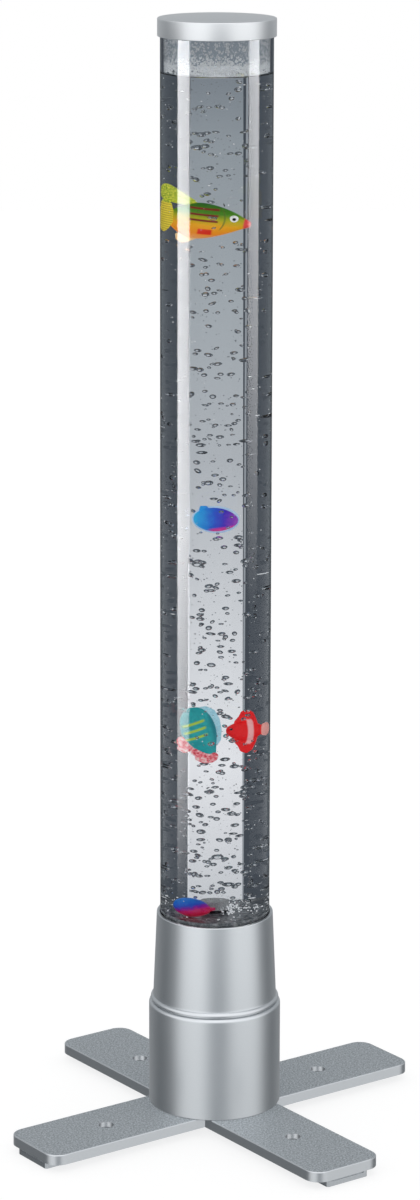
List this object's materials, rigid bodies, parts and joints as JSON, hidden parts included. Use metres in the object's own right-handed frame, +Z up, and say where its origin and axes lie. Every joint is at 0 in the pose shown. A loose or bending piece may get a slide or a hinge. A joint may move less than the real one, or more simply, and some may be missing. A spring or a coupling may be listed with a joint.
{
  "type": "bubble tube floor lamp",
  "caption": "Tall clear water tube with rising air bubbles and floating fish, on a round two-part base with crossed flat foot arms and a lift-off cap.",
  "frame": {"origin": "on the floor under the tube's axis, level with the undersides of the foot pads", "axes": "+Z up along the tube, -Y is the front, +Y the side with the power inlet and the button; the foot arms lie on the diagonals"},
  "size_m": [0.3296, 0.3296, 1.014],
  "materials": {
    "foot_arm": "fine sand texture, silver",
    "foot_pad": "satin silver",
    "base_plate": "satin black",
    "screws": "plain",
    "shell": "metallic silver",
    "cap": "metallic silver",
    "tube": "clear",
    "chamber_floor": "smoked",
    "black_plastic": "fine",
    "white_plastic": "fine",
    "air_stone": "gritty",
    "hose": "milky silicone",
    "iron": "laminated",
    "copper": "wound wire",
    "rubber": "soft",
    "circuit_board": "solder mask",
    "light": "diffusing",
    "wire": "plain",
    "water": "clear water",
    "button": "smooth",
    "lever": "stamped",
    "fish_green": "painted",
    "fish_blue": "painted",
    "fish_teal": "painted",
    "fish_red": "painted",
    "fish_crimson": "painted"
  },
  "bodies": {
    "lamp": {"foot_arm_front_left": "foot_arm", "foot_arm_front_right": "foot_arm", "foot_arm_back_left": "foot_arm", "foot_arm_back_right": "foot_arm", "foot_pad_front_left": "foot_pad", "foot_pad_front_right": "foot_pad", "foot_pad_back_left": "foot_pad", "foot_pad_back_right": "foot_pad", "base_plate": "base_plate", "base_screws": "screws", "lower_shell": "shell", "upper_shell": "shell", "tube": "tube", "chamber_floor": "chamber_floor", "air_nozzle": "black_plastic", "nozzle_nut": "black_plastic", "air_stone": "air_stone", "check_valve": "white_plastic", "air_hose": "hose", "pump_tray": "black_plastic", "pump_lid": "black_plastic", "pump_core": "iron", "pump_coil": "copper", "pump_diaphragm": "rubber", "pump_valve_box": "white_plastic", "pump_feet": "rubber", "control_board": "circuit_board", "dc_jack": "black_plastic", "power_switch": "black_plastic", "light_board": "white_plastic", "light_emitters": "light", "light_wires": "wire", "pump_wires": "wire", "water": "water"},
    "cap": {"top_cap": "cap"},
    "button": {"power_button": "button"},
    "lever": {"pump_lever": "lever"},
    "green_fish": {"fish_green": "fish_green"},
    "blue_fish": {"fish_blue": "fish_blue"},
    "teal_fish": {"fish_teal": "fish_teal"},
    "red_fish": {"fish_red": "fish_red"},
    "crimson_fish": {"fish_crimson": "fish_crimson"}
  },
  "joints": [
    {"name": "cap_lift", "type": "slide", "parent": "lamp", "child": "cap", "axis": [0, 0, 1], "range_m": [0, 0.04]},
    {"name": "power_button_press", "type": "slide", "parent": "lamp", "child": "button", "axis": [0, -1, 0], "range_m": [0, 0.0015], "stiffness_N_per_m": 400},
    {"name": "pump_lever_swing", "type": "hinge", "parent": "lamp", "child": "lever", "pos_m": [-0.0038, -0.0212, 0.039], "axis": [0, 0, 1], "range_deg": [-2, 2], "stiffness_Nm_per_rad": 0.05, "deforming": ["pump_diaphragm"]},
    {"name": "green_fish_float", "type": "slide", "parent": "lamp", "child": "green_fish", "axis": [0, 0, 1], "range_m": [-0.11, 0.095], "deforming": ["water"]},
    {"name": "blue_fish_float", "type": "slide", "parent": "lamp", "child": "blue_fish", "axis": [0, 0, 1], "range_m": [-0.03, 0.115], "deforming": ["water"]},
    {"name": "teal_fish_float", "type": "slide", "parent": "lamp", "child": "teal_fish", "axis": [0, 0, 1], "range_m": [-0.025, 0.12], "deforming": ["water"]},
    {"name": "red_fish_float", "type": "slide", "parent": "lamp", "child": "red_fish", "axis": [0, 0, 1], "range_m": [-0.025, 0.12], "deforming": ["water"]},
    {"name": "crimson_fish_float", "type": "slide", "parent": "lamp", "child": "crimson_fish", "axis": [0, 0, 1], "range_m": [0, 0.09], "deforming": ["water"]}
  ]
}
